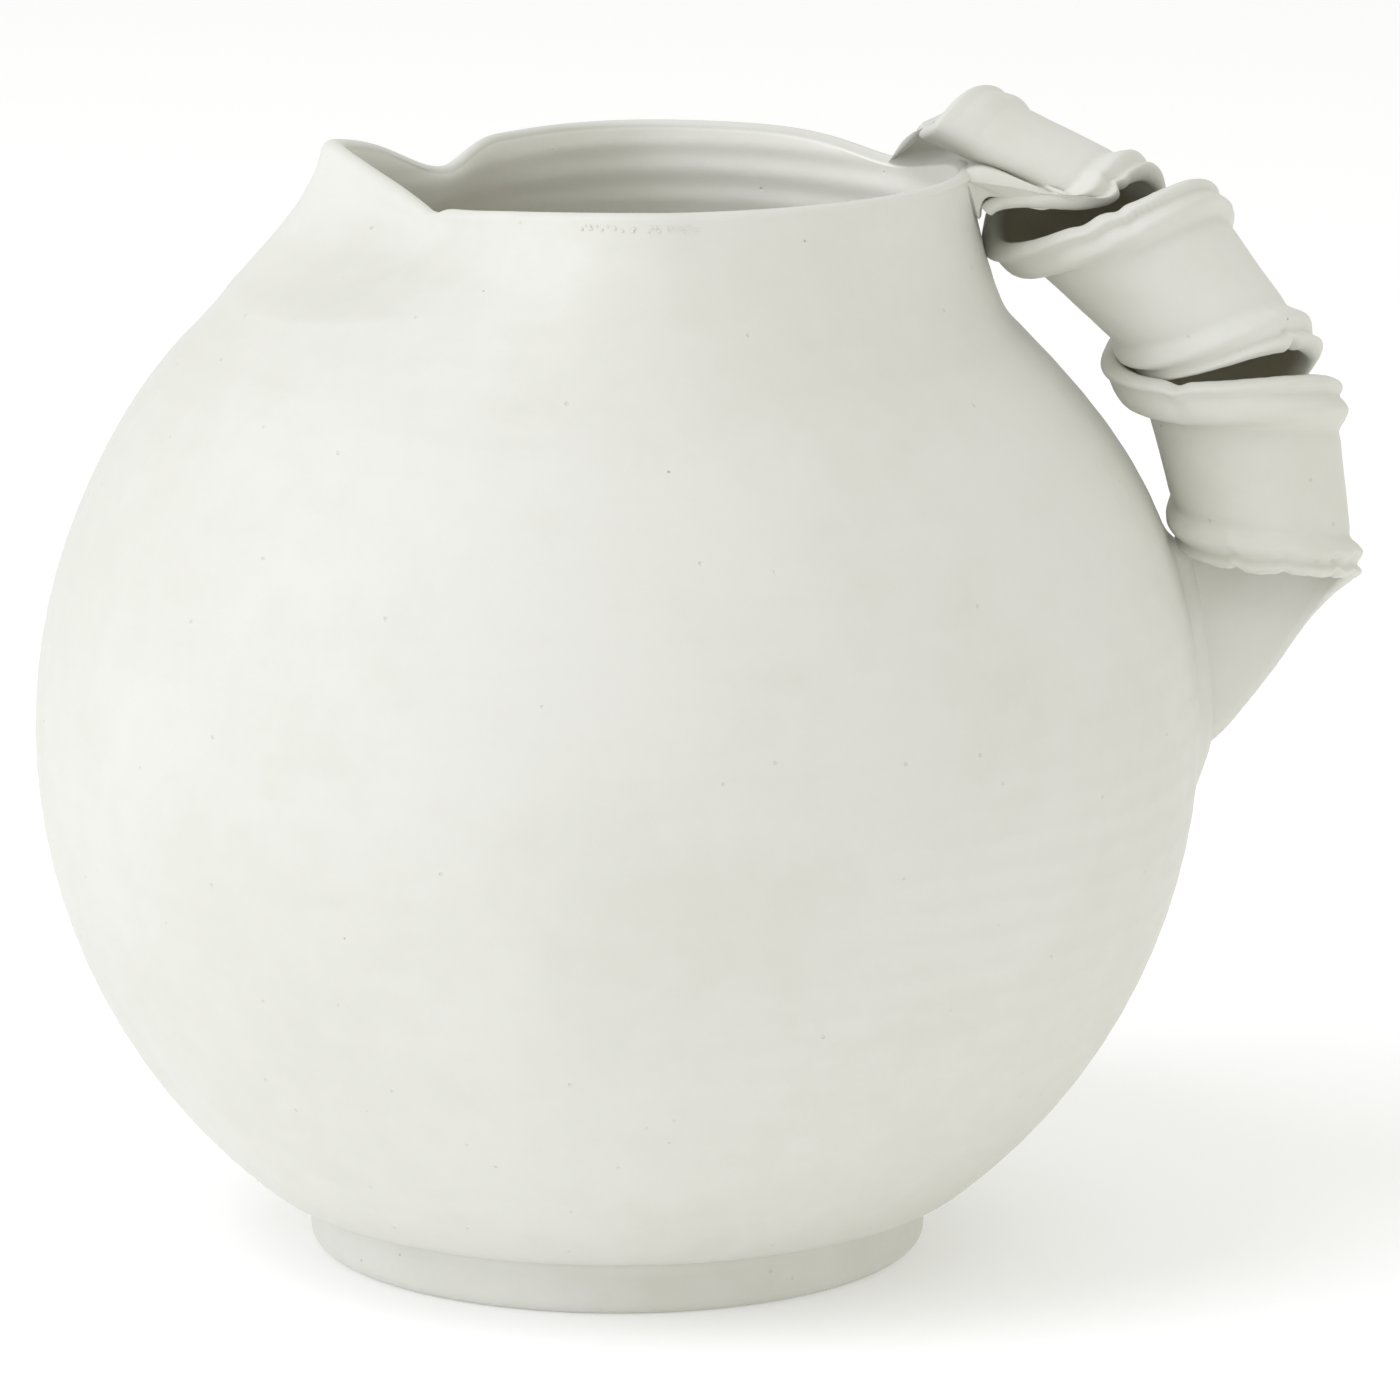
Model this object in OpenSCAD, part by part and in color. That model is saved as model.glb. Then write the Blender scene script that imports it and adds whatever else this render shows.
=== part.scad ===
// Hand-thrown pitcher: a globe body on a turned foot, a low collar with a pinched
// spout, and a flat ribbed strap wound into an open coil as the handle.
// Units are millimetres. The origin is the centre of the foot's resting plane,
// +Z is up, +X points to the handle and -X to the spout.

/* [Globe] */
// Widest diameter of the globe
globe_d = 240; // [200:1:290]
// Thickness of the globe's wall
globe_wall = 4.5; // [3:0.1:7]
// Thickness of the floor
floor_t = 6; // [4:0.1:10]
// How far the shoulder's arc is shifted outwards, which flattens the shoulder
shoulder_shift = 4; // [0:0.5:10]
// Radius of the flat underside that the foot is joined to
seat_r = 71; // [60:0.5:80]

/* [Foot] */
// Outer radius of the foot ring
foot_r = 64; // [54:0.5:70]
// Inner radius of the foot ring
foot_in_r = 52; // [40:0.5:56]
// Height of the foot ring
foot_h = 12; // [8:0.5:20]
// Rounding of the foot's lower edges
foot_edge_r = 3; // [1:0.1:4]
// Small concave flare where the foot meets the belly
foot_flare = 2.5; // [1:0.1:5]

/* [Collar] */
// Radius where the collar sits on the shoulder
collar_base_r = 82.5; // [70:0.5:95]
// Height of the collar from its joint to the plain rim
collar_h = 31; // [20:0.5:45]
// Outer radius of the plain part of the rim
rim_r = 73; // [60:0.5:88]
// Thickness of the rim's rounded lip
lip_t = 3.4; // [2.5:0.1:5]

/* [Spout] */
// Half of the angle that the spout takes up at the rim
spout_half_angle = 38; // [30:1:46]
// How far the rim is pinched in on each side of the spout
pinch_depth = 25.8; // [15:0.2:32]
// How far the rim dips at the pinches
pinch_drop = 4.7; // [2:0.1:8]
// How far inside the plain rim's radius the spout's tip lies
tip_setback = 12.5; // [0:0.5:18]
// How far the spout's tip stands above the plain rim
tip_rise = 6; // [2:0.5:14]
// How far round each side the rim takes to come back to its full radius
pinch_reach = 100; // [80:1:120]

/* [Handle strap] */
// Thickness of the rolled strap
strap_t = 3.4; // [2.5:0.1:5]
// Height of the rounded ridge along each side of the strap
ridge_h = 2.5; // [1:0.1:3]
// Gap along the coil between one turn of the strap and the next
turn_gap = 0.6; // [0:0.1:6]
// Radius of the coil at its top turn
coil_top_r = 10; // [8:0.1:13]
// Radius of the coil at its lowest turn
coil_low_r = 16.6; // [13:0.1:18]
// How far the coil's centre line stands outside the globe's widest circle
coil_standoff = 11.4; // [8:0.1:20]
// How far the coil's centre line starts outside the rim
coil_rim_gap = 7; // [5:0.1:12]
// How far the coil's centre line starts above the rim, or below it where it is negative
coil_rim_rise = -0.8; // [-3:0.1:6]
// How far above the globe's widest circle the coil's centre line comes to stand upright
coil_foot_rise = 39.2; // [30:0.1:50]

/* [Handle joints] */
// How far the strap's ends are pressed into the clay of the joints
luting_depth = 0.5; // [0.2:0.1:1]
// Height of the clay worked under the upper end of the strap
upper_joint_h = 8; // [5:0.5:12]
// Height below the rim at which the strap leaves the collar, at its front edge
root_drop_front = 8.5; // [6:0.5:11]
// Height below the rim at which the strap leaves the collar, at its back edge
root_drop_back = 5; // [3:0.5:8]
// Height of the clay bed under the lower end of the strap
bed_h = 2.4; // [1.5:0.1:4]
// How far the clay bed reaches out to each side of the strap
bed_side = 7; // [4:0.5:12]
// How far the bed's middle lies below the end of the coil
tail_drop = 32; // [20:0.5:45]

/* [Hidden] */

$fn = 96;
glaze = [0.87, 0.87, 0.82];
glaze_shade = [0.84, 0.84, 0.78];
cut_size = 4 * globe_d;

// Globe: the belly is part of a sphere, the shoulder a slightly smaller arc
globe_r = globe_d / 2;
globe_z = foot_h + sqrt(pow(globe_r, 2) - pow(seat_r, 2));
shoulder_r = globe_r - shoulder_shift;
joint_z = globe_z + sqrt(pow(shoulder_r, 2) - pow(collar_base_r - shoulder_shift, 2));
joint_in_r = shoulder_shift
    + sqrt(pow(shoulder_r - globe_wall, 2) - pow(joint_z - globe_z, 2));
rim_z = joint_z + collar_h;

// Rim: radius and height as functions of the angle t away from the spout's middle
pinch_r = rim_r - pinch_depth;
pinch_z = rim_z - pinch_drop;
tip_r = rim_r - tip_setback;
tip_z = rim_z + tip_rise;
tip_round = 5;
rim_level_angle = 75;

function mix(a, b, u) = a + (b - a) * u;
function clamp01(u) = min(1, max(0, u));
function ease(a, b, x) = let (u = clamp01((x - a) / (b - a))) u * u * (3 - 2 * u);
function rounded(t) = sqrt(t * t + tip_round * tip_round) - tip_round;
function spout_share(t) = 1 - clamp01(rounded(t) / rounded(spout_half_angle));
function side_share(t, reach) =
    pow(sin(90 * clamp01((t - spout_half_angle) / (reach - spout_half_angle))), 2);
function rim_radius(t) =
    pinch_r + (tip_r - pinch_r) * pow(spout_share(t), 2) + pinch_depth * side_share(t, pinch_reach);
function rim_height(t) = t < spout_half_angle
    ? mix(tip_z, pinch_z, (1 - cos(180 * t / spout_half_angle)) / 2)
    : mix(pinch_z, rim_z, side_share(t, rim_level_angle));

// Collar and spout walls: one closed outline at each angle, from the joint's
// outside up to the lip and down the inside
wall_steps = 9;
lip_steps = 4;
spout_step = 38 / 11;
collar_step = 71 / 14;
throat_lean = 3.4;
throat_rise = 8;
lip_drop = 10;
spout_belly = 2.5;
waist_gap = 1;

function bezier(p, u) = p[0] * pow(1 - u, 3) + 3 * p[1] * u * pow(1 - u, 2)
    + 3 * p[2] * u * u * (1 - u) + p[3] * pow(u, 3);
function spout_blend(t) = 1 - ease(0, spout_half_angle + 24, t);
function outer_curve(t) = let (s = spout_blend(t), r = rim_radius(t), h = rim_height(t) - lip_t / 2) [
    [collar_base_r, joint_z],
    [collar_base_r - throat_lean - (throat_lean - waist_gap) * s, joint_z + throat_rise + 2 * s],
    [r + spout_belly * s, h - lip_drop - 2 * s],
    [r, h]];
function inner_curve(t) = let (s = spout_blend(t), r = rim_radius(t) - lip_t, h = rim_height(t) - lip_t / 2) [
    [joint_in_r, joint_z],
    [joint_in_r - waist_gap - (throat_lean - waist_gap) * s, joint_z + throat_rise + 2 * s],
    [r + spout_belly * s, h - lip_drop - 2 * s],
    [r, h]];
function wall_outline(t) = concat(
    [for (i = [0 : wall_steps]) bezier(outer_curve(t), i / wall_steps)],
    [for (i = [1 : lip_steps - 1]) let (a = 180 * i / lip_steps)
        [rim_radius(t) - lip_t / 2 + lip_t / 2 * cos(a), rim_height(t) - lip_t / 2 + lip_t / 2 * sin(a)]],
    [for (i = [wall_steps : -1 : 0]) bezier(inner_curve(t), i / wall_steps)]);
// p = [radius, height]; a is counted from the spout's middle, -X
function around(p, a) = [-p[0] * cos(a), -p[0] * sin(a), p[1]];
function fold(a) = abs(a > 180 ? a - 360 : a);
function wall_ring(a) = [for (p = wall_outline(fold(a))) around(p, a)];

// A solid from a row of rings that all have the same number of points. The ends are
// flat outlines, or for a bent band a strip between the ring's first and second half.
module skin(rings, band = false) {
    n = len(rings[0]);
    last = len(rings) - 1;
    sides = [for (i = [0 : last - 1], j = [0 : n - 1]) let (k = (j + 1) % n)
        each [[i * n + j, i * n + k, (i + 1) * n + k], [i * n + j, (i + 1) * n + k, (i + 1) * n + j]]];
    strip = [for (j = [0 : n / 2 - 2]) each [[j, j + 1, n - 2 - j], [j, n - 2 - j, n - 1 - j]]];
    end_faces = band ? strip : [[for (j = [0 : n - 1]) j]];
    start_cap = [for (f = end_faces) [for (j = [len(f) - 1 : -1 : 0]) f[j]]];
    end_cap = [for (f = end_faces) [for (j = f) last * n + j]];
    polyhedron(points = [for (r = rings) each r], faces = concat(sides, start_cap, end_cap), convexity = 10);
}

// Handle: the coil's centre line is an arc in the XZ plane, from beside the rim
// to a little outside the globe. A turn of 0 is at the front of the top turn.
arc_top_x = rim_r + coil_rim_gap;
arc_top_z = rim_z + coil_rim_rise;
arc_low_x = globe_r + coil_standoff;
arc_z = globe_z + coil_foot_rise;
arc_r = (pow(arc_low_x - arc_top_x, 2) + pow(arc_top_z - arc_z, 2)) / (2 * (arc_low_x - arc_top_x));
arc_x = arc_low_x - arc_r;
top_angle = atan2(arc_top_z - arc_z, arc_top_x - arc_x);
root_turn = -0.25;
coil_start = 0.06;
coil_end = 2.27;
tail_turn = 2.75;
// [turn, angle down the arc from its start], drawn for an arc of drawn_angle
drawn_angle = 66.5;
angle_scale = top_angle / drawn_angle;
coil_angles = [[-0.25, -5.5], [0, 0], [0.25, 4.5], [0.75, 19], [1, 26.5], [1.25, 32.3],
               [1.75, 50.5], [2, 56.3], [2.25, 60.6], [2.5, 65]];
// [turn, share of the way from the top turn's radius to the lowest turn's]
coil_growth = [[-0.25, 0.15], [0.25, 0], [0.5, 0.38], [0.75, 0.8], [1, 0.88], [1.25, 0.76],
               [1.75, 0.97], [2, 1], [2.5, 1]];
// [turn, how far the strap's upper edge curls outwards]
edge_curl = [[0, 0], [0.5, 1], [0.75, 3.5], [1, 0.8], [1.25, 0.6], [1.5, 2.6], [1.72, 5.4], [1.88, 4.6],
             [2.1, 0.6], [2.5, 0]];
curl_from = 0.5;
curl_to = 0.86;
pitch_angle = 28.15;
strap_w = arc_r * pitch_angle * angle_scale * PI / 180 - turn_gap;
strap_taper = 0.3;

// A smooth curve through [position, value] pairs
function step_slope(tab, i) = let (a = max(0, i - 1), b = min(len(tab) - 1, i + 1))
    (tab[b][1] - tab[a][1]) / (tab[b][0] - tab[a][0]);
function segment(tab, x, i = 0) = i >= len(tab) - 2 || x < tab[i + 1][0] ? i : segment(tab, x, i + 1);
function hermite(p0, m0, p1, m1, u) = p0 * (2 * pow(u, 3) - 3 * u * u + 1) + m0 * (pow(u, 3) - 2 * u * u + u)
    + p1 * (3 * u * u - 2 * pow(u, 3)) + m1 * (pow(u, 3) - u * u);
function smooth(tab, x) = let (i = segment(tab, x), w = tab[i + 1][0] - tab[i][0])
    hermite(tab[i][1], step_slope(tab, i) * w, tab[i + 1][1], step_slope(tab, i + 1) * w, (x - tab[i][0]) / w);

function coil_angle(q) = top_angle - angle_scale * smooth(coil_angles, q);

// Middle of the strap on the coil: turn q, and v from -1 at the upper edge to 1
function coil_point(q, v) = let (
    a = coil_angle(q),
    out = [cos(a), 0, sin(a)],
    down = [sin(a), 0, -cos(a)],
    side = out * cos(90 - 360 * q) + [0, -1, 0] * sin(90 - 360 * q),
    r = mix(coil_top_r, coil_low_r, smooth(coil_growth, q)) + strap_taper * v
        + smooth(edge_curl, q) * ease(curl_from, curl_to, -v))
    [arc_x, 0, arc_z] + out * arc_r + down * (v * strap_w / 2) + side * r;

// Upper end: an arc round the outside of the rim
root_back_angle = 34;
root_front_angle = -9;
function collar_u(z, u = 1) = u <= 0 || bezier(outer_curve(180), u)[1] <= z ? u : collar_u(z, u - 0.004);
function collar_radius(z) = bezier(outer_curve(180), collar_u(z))[0];
// k runs from 0 at the strap's back edge to 1 at its front edge
function root_angle(k) = mix(root_back_angle, root_front_angle, k);
function root_z(k) = rim_z - mix(root_drop_back, root_drop_front, k);
function root_point(v) = let (k = (v + 1) / 2, a = root_angle(k), z = root_z(k), r = collar_radius(z) + strap_t / 2)
    [r * cos(a), r * sin(a), z];
function root_pull(v) = mix([2, 4, 34], [12, -4, 14], (v + 1) / 2);

// Lower end: an upright line on the belly, pressed into its clay bed
tail_z = arc_z + arc_r * sin(coil_angle(coil_end)) - tail_drop;
tail_y = 3;
function tail_point(v) = let (z = tail_z - v * strap_w / 2, r = globe_r + bed_h - luting_depth)
    [sqrt(r * r - pow(z - globe_z, 2) - tail_y * tail_y), tail_y, z];
function tail_pull(v) = mix([-22, -4, -2], [-16, -4, -6], (v + 1) / 2);

slope_step = 0.002;
function coil_pull(q, v) = (coil_point(q + slope_step, v) - coil_point(q - slope_step, v)) / (2 * slope_step);
function strap_mid(q, v) =
    q < coil_start ? let (w = coil_start - root_turn)
        hermite(root_point(v), root_pull(v), coil_point(coil_start, v), coil_pull(coil_start, v) * w,
                (q - root_turn) / w)
    : q > coil_end ? let (w = tail_turn - coil_end)
        hermite(coil_point(coil_end, v), coil_pull(coil_end, v) * w * 1.15, tail_point(v), tail_pull(v),
                (q - coil_end) / w)
    : coil_point(q, v);
function unit(p) = p / norm(p);
function strap_normal(q, v) = unit(cross(
    strap_mid(q, v + slope_step) - strap_mid(q, v - slope_step),
    strap_mid(q + slope_step, v) - strap_mid(q - slope_step, v)));

// Ridge and edge bead across the strap, lower at both ends of the handle
ridge_at = 0.72;
bead_at = 0.96;
function bump(v, at, wide) = exp(-pow((abs(v) - at) / wide, 2));
function ridge_fade(q, v) = ease(root_turn, 0.05, q) * (1 - 0.6 * ease(coil_end, tail_turn, q))
    * (v < 0 ? mix(0.25, 1, ease(0.2, 0.6, q)) : 1);
function strap_height(q, v) =
    (ridge_h * bump(v, ridge_at, 0.1) + ridge_h / 2 * bump(v, bead_at, 0.06)) * ridge_fade(q, v);
edge_thinning = 0.3;
across = [-1, -0.93, -0.86, -0.79, -0.72, -0.65, -0.55, 0, 0.55, 0.65, 0.72, 0.79, 0.86, 0.93, 1];
strap_rings = 90;
function strap_ring(q) = concat(
    [for (v = across) strap_mid(q, v) + strap_normal(q, v) * (strap_t / 2 + strap_height(q, v))],
    [for (v = across) strap_mid(q, -v) - strap_normal(q, -v) * strap_t / 2 * (1 - edge_thinning * ease(0.8, 1, abs(v)))]);

// Clay under the strap's upper end: a patch on the collar, thickest at its top
pad_side_angle = 4;
pad_steps = 14;
pad_rows = 8;
pad_edge = 0.3;
function pad_z(a, i) = root_z(clamp01((root_back_angle - a) / (root_back_angle - root_front_angle)))
    + luting_depth - upper_joint_h * (1 - i / pad_rows);
function pad_ring(a, share) = let (heights = [for (i = [0 : pad_rows]) pad_z(a, i)])
    concat(
        [for (i = [0 : pad_rows]) around([collar_radius(heights[i]) + pad_edge
            + (strap_t - pad_edge) * share * pow(i / pad_rows, 2), heights[i]], a + 180)],
        [for (i = [pad_rows : -1 : 0]) around([collar_radius(heights[i]), heights[i]], a + 180)]);

// Clay bed on the belly under the strap's lower end
bed_len = strap_w + 2 * bed_side;
bed_rows = 16;
bed_cols = 10;
bed_end = bed_side / bed_len;
bed_slope = 0.4;
function bed_height(u, w) = pad_edge + (bed_h - pad_edge) * ease(0, bed_end, u) * ease(0, bed_end, 1 - u)
    * ease(0, bed_slope, w) * ease(0, bed_slope, 1 - w);
function belly_point(y, z, h) = let (r = globe_r + h, x = sqrt(r * r - y * y - pow(z - globe_z, 2))) [x, y, z];
function bed_ring(u) = let (z = tail_z + bed_len / 2 - bed_len * u) concat(
    [for (j = [0 : bed_cols]) let (w = j / bed_cols) belly_point(tail_y + mix(-bed_side, bed_side, w), z,
        bed_height(u, w))],
    [for (j = [bed_cols : -1 : 0]) let (w = j / bed_cols) belly_point(tail_y + mix(-bed_side, bed_side, w), z, 0)]);

module foot_profile() {
    edge = foot_edge_r;
    difference() {
        translate([foot_in_r, 0]) square([foot_r + foot_flare - foot_in_r, foot_h]);
        translate([foot_r, -foot_h]) square([foot_flare * 2, 2 * foot_h - foot_flare]);
        translate([foot_r + foot_flare, foot_h - foot_flare]) circle(foot_flare);
        difference() {
            translate([foot_r - edge, -edge]) square([2 * edge, 2 * edge]);
            translate([foot_r - edge, edge]) circle(edge);
        }
        difference() {
            translate([foot_in_r - edge, -edge]) square([2 * edge, 2 * edge]);
            translate([foot_in_r + edge, edge]) circle(edge);
        }
    }
}

module foot_ring() {
    color(glaze_shade) rotate_extrude() foot_profile();
}

// Half outline of a globe that is inset by the given wall
module globe_outline(inset, low_z) {
    intersection() {
        union() {
            intersection() {
                translate([0, globe_z]) circle(globe_r - inset);
                translate([0, globe_z - cut_size]) square(cut_size);
            }
            intersection() {
                translate([shoulder_shift, globe_z]) circle(shoulder_r - inset);
                translate([shoulder_shift, globe_z]) square(cut_size);
            }
            translate([0, globe_z - 1]) square([shoulder_shift, joint_z - globe_z + 1 + inset]);
        }
        translate([0, low_z]) square([cut_size, joint_z - low_z + inset]);
    }
}

module globe() {
    color(glaze) rotate_extrude() difference() {
        globe_outline(0, foot_h);
        globe_outline(globe_wall, foot_h + floor_t);
    }
}

module neck_collar() {
    full = 360 - 2 * spout_half_angle;
    steps = round(full / collar_step);
    color(glaze) skin([for (i = [0 : steps]) wall_ring(spout_half_angle + full * i / steps)]);
}

module pouring_spout() {
    full = 2 * spout_half_angle;
    steps = round(full / spout_step);
    color(glaze) skin([for (i = [0 : steps]) wall_ring(full * i / steps - spout_half_angle)]);
}

module handle_strap() {
    color(glaze) skin([for (i = [0 : strap_rings])
        strap_ring(mix(root_turn, tail_turn - slope_step, i / strap_rings))], band = true);
}

module upper_handle_joint() {
    from = root_front_angle - pad_side_angle;
    to = root_back_angle + pad_side_angle;
    color(glaze_shade) skin([for (i = [0 : pad_steps]) let (a = mix(from, to, i / pad_steps))
        pad_ring(a, ease(from, root_front_angle, a) * (1 - ease(root_back_angle, to, a)))], band = true);
}

module lower_handle_joint() {
    color(glaze_shade) skin([for (i = [0 : bed_rows]) bed_ring(i / bed_rows)], band = true);
}

foot_ring();
globe();
neck_collar();
pouring_spout();
handle_strap();
upper_handle_joint();
lower_handle_joint();
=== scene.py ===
"""Looks of the hand-thrown pitcher with a coiled strap handle.

Sizes are in millimetres and angles in degrees until a mesh is made. +X points to
the handle, -X to the spout, +Z up. Angles round the wall start at the spout's
middle and go round by the front, -Y.
"""
import math

import bmesh
import bpy
import numpy as np
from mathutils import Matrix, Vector


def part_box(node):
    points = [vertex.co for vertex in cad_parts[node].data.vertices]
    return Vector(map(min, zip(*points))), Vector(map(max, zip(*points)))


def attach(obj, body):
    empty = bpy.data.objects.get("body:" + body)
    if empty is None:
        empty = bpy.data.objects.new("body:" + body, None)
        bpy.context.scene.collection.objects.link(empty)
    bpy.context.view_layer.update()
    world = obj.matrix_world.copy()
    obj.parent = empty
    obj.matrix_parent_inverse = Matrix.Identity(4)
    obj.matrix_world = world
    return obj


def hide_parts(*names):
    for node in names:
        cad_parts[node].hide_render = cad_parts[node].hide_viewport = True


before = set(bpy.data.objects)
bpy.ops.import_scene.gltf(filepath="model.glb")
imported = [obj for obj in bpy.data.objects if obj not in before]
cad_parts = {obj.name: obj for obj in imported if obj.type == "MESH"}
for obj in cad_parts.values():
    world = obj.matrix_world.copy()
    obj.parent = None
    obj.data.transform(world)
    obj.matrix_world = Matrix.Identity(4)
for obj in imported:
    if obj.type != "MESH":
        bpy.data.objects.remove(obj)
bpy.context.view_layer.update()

MM = 0.001


# ---------------------------------------------------------------- node trees

class Field:
    """An output socket of a node tree, on which Python's arithmetic works."""

    def __init__(self, tree, socket):
        self.tree = tree
        self.socket = socket

    def math(self, operation, *numbers):
        return add(self.tree, "ShaderNodeMath", {"operation": operation}, dict(enumerate(numbers)))

    def __add__(self, other):
        return self.math("ADD", self, other)

    def __radd__(self, other):
        return self.math("ADD", other, self)

    def __sub__(self, other):
        return self.math("SUBTRACT", self, other)

    def __rsub__(self, other):
        return self.math("SUBTRACT", other, self)

    def __mul__(self, other):
        return self.math("MULTIPLY", self, other)

    def __rmul__(self, other):
        return self.math("MULTIPLY", other, self)

    def __truediv__(self, other):
        return self.math("DIVIDE", self, other)

    def __rtruediv__(self, other):
        return self.math("DIVIDE", other, self)

    def __gt__(self, other):
        return self.math("GREATER_THAN", self, other)

    def __lt__(self, other):
        return self.math("LESS_THAN", self, other)

    def sine(self):
        return self.math("SINE", self)


def add(tree, kind, settings=None, values=None, out=0):
    """Add a node, apply its settings, then its values or links, and give one output if it has any."""
    node = tree.nodes.new(kind)
    for name, setting in (settings or {}).items():
        setattr(node, name, setting)
    for key, value in (values or {}).items():
        if isinstance(value, Field):
            tree.links.new(value.socket, node.inputs[key])
        else:
            node.inputs[key].default_value = value
    return Field(tree, node.outputs[out]) if len(node.outputs) else None


def smooth_step(value, low, high):
    """0 below low, 1 above high and a smooth rise between."""
    settings = {"interpolation_type": "SMOOTHSTEP"}
    return add(value.tree, "ShaderNodeMapRange", settings, {0: value, 1: low, 2: high})


def split(vector):
    """The three parts of a vector field."""
    first = add(vector.tree, "ShaderNodeSeparateXYZ", values={0: vector})
    return [Field(vector.tree, socket) for socket in first.socket.node.outputs]


def combine(tree, x=0.0, y=0.0, z=0.0):
    """A vector field from three numbers or fields."""
    return add(tree, "ShaderNodeCombineXYZ", values={0: x, 1: y, 2: z})


def scaled(vector, size):
    """A vector field made longer or shorter by a number field."""
    return add(vector.tree, "ShaderNodeVectorMath", {"operation": "SCALE"}, {0: vector, "Scale": size})


# ----------------------------------------------------------------- materials

WARM_WHITE = (0.700, 0.700, 0.645, 1)
POOLED_WHITE = (0.655, 0.655, 0.585, 1)
# Painted light: the wall's inside is coloured much brighter than its outside, for light that falls in
# through the mouth
INNER_PAINTED_LIGHT = (0.930, 0.920, 0.850, 1)
# Painted shade: a dark brown for the strap's back inside the coil, where little light reaches
PAINTED_SHADE_BROWN = (0.300, 0.280, 0.200, 1)
SPECK_BROWN = (0.300, 0.270, 0.200, 1)

# The glaze's features: sizes in millimetres, and the share of a grid's cells that hold a dot
CLOUD_SIZE = 60
MOTTLE_SIZE = 9
GRAIN_SIZE = 1.1
SPECKS = {"spacing": 9, "radius": 0.42, "share": 0.16}
PITS = {"spacing": 5, "radius": 0.5, "share": 0.22}
DOT_CORE = 0.35

# How strongly they show in the colour, and the noise between which the glaze has pooled
SPECK_STRENGTH = 0.75
PIT_STRENGTH = 0.10
POOLED_FROM = 0.38
POOLED_TO = 0.66

# Relief in millimetres; the last value shifts the rings' phase by the mottle, in radians
MOTTLE_DEPTH = 0.10
PIT_DEPTH = 0.16
RING_PITCH = 6.5
RING_WAVER = 6
RING_BREAK = 2.5


def colour_mix(share, first, second):
    """One colour to another by a share from 0 to 1."""
    tree = share.tree
    settings = {"data_type": "RGBA"}
    return add(tree, "ShaderNodeMix", settings, {0: share, 6: first, 7: second}, out=2)


def noise(place, size, detail=3, roughness=0.5):
    """Soft noise from 0 to 1 with features of the given size in millimetres."""
    values = {"Vector": place, "Scale": 1 / (size * MM), "Detail": detail, "Roughness": roughness}
    return add(place.tree, "ShaderNodeTexNoise", values=values)


def dots(place, spacing, radius, share):
    """Round dots on a share of a grid's cells, 1 in the middle of a dot."""
    tree = place.tree
    values = {"Vector": place, "Scale": 1 / (spacing * MM), "Randomness": 1}
    distance = add(tree, "ShaderNodeTexVoronoi", values=values)
    chance = Field(tree, distance.socket.node.outputs["Color"])
    reach = radius / spacing
    return (1 - smooth_step(distance, DOT_CORE * reach, reach)) * (split(chance)[0] < share)


def glaze(name, warm, ring_height, grain_height, inner=INNER_PAINTED_LIGHT):
    """Satin white glaze with clouding, throwing rings, specks, pits and a fine grain.

    warm is how strongly its pooled colour shows, the heights are the relief's in
    millimetres, and inner is its colour where the attribute called inside is 1: painted
    light on the wall's inside and painted shade on the strap's back within the coil."""
    material = bpy.data.materials.new(name)
    material.use_nodes = True
    tree = material.node_tree
    tree.nodes.clear()
    place = add(tree, "ShaderNodeTexCoord", out="Object")
    clouds = noise(place, CLOUD_SIZE, detail=4)
    mottle = noise(place, MOTTLE_SIZE, detail=5, roughness=0.6)
    grain = noise(place, GRAIN_SIZE)
    specks = dots(place, **SPECKS)
    pits = dots(place, **PITS)
    pooled = smooth_step(clouds * 0.7 + mottle * 0.3, POOLED_FROM, POOLED_TO)
    # Where the attribute inside is 1 the glaze's colour gives way to inner: painted light on the wall's
    # inside, painted shade on the strap's back in the coil
    inside = add(tree, "ShaderNodeAttribute", {"attribute_name": "inside"}, out=2)
    body = colour_mix(inside, colour_mix(pooled * warm, WARM_WHITE, POOLED_WHITE), inner)
    colour = colour_mix(specks * SPECK_STRENGTH + pits * PIT_STRENGTH, body, SPECK_BROWN)
    height_up = split(place)[2] + (clouds - 0.5) * (RING_WAVER * MM)
    ring = (height_up * (2 * math.pi / (RING_PITCH * MM)) + mottle * RING_BREAK).sine()
    relief = (ring * (ring_height * MM) + mottle * (MOTTLE_DEPTH * MM) + grain * (grain_height * MM)
              - pits * (PIT_DEPTH * MM))
    bump = add(tree, "ShaderNodeBump", values={"Strength": 1.0, "Distance": 1.0, "Height": relief})
    satin = add(tree, "ShaderNodeBsdfPrincipled", values={
        "Base Color": colour, "Roughness": 0.50 + mottle * 0.16, "Normal": bump,
        "Specular IOR Level": 0.42, "Coat Weight": 0.10, "Coat Roughness": 0.38})
    add(tree, "ShaderNodeOutputMaterial", values={"Surface": satin})
    return material


# The body's glaze keeps the painted light of the wall's inside as its inner colour
body_glaze = glaze("body_glaze", 0.8, ring_height=0.05, grain_height=0.020)
foot_glaze = glaze("foot_glaze", 1.0, ring_height=0.08, grain_height=0.030)
# The handle's inner colour is painted shade on the strap's back inside the coil
handle_glaze = glaze("handle_glaze", 1.0, ring_height=0.0, grain_height=0.028, inner=PAINTED_SHADE_BROWN)


# --------------------------------------------------------------- small maths

def mix(a, b, u):
    """a where u is 0, b where it is 1."""
    return a + (b - a) * u


def ease(a, b, x):
    """A smooth rise from 0 at a to 1 at b."""
    u = np.clip((x - a) / (b - a), 0, 1)
    return u * u * (3 - 2 * u)


def between(x, start, full, until, end):
    """Rises from 0 to 1 between the first two places and falls back between the last two."""
    return ease(start, full, x) * (1 - ease(until, end, x))


def bell(x, at, wide):
    """A bell curve, 1 at its middle."""
    return np.exp(-((x - at) / wide) ** 2)


def unit(vectors):
    """Vectors brought to length 1."""
    return vectors / np.linalg.norm(vectors, axis=-1, keepdims=True)


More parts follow.
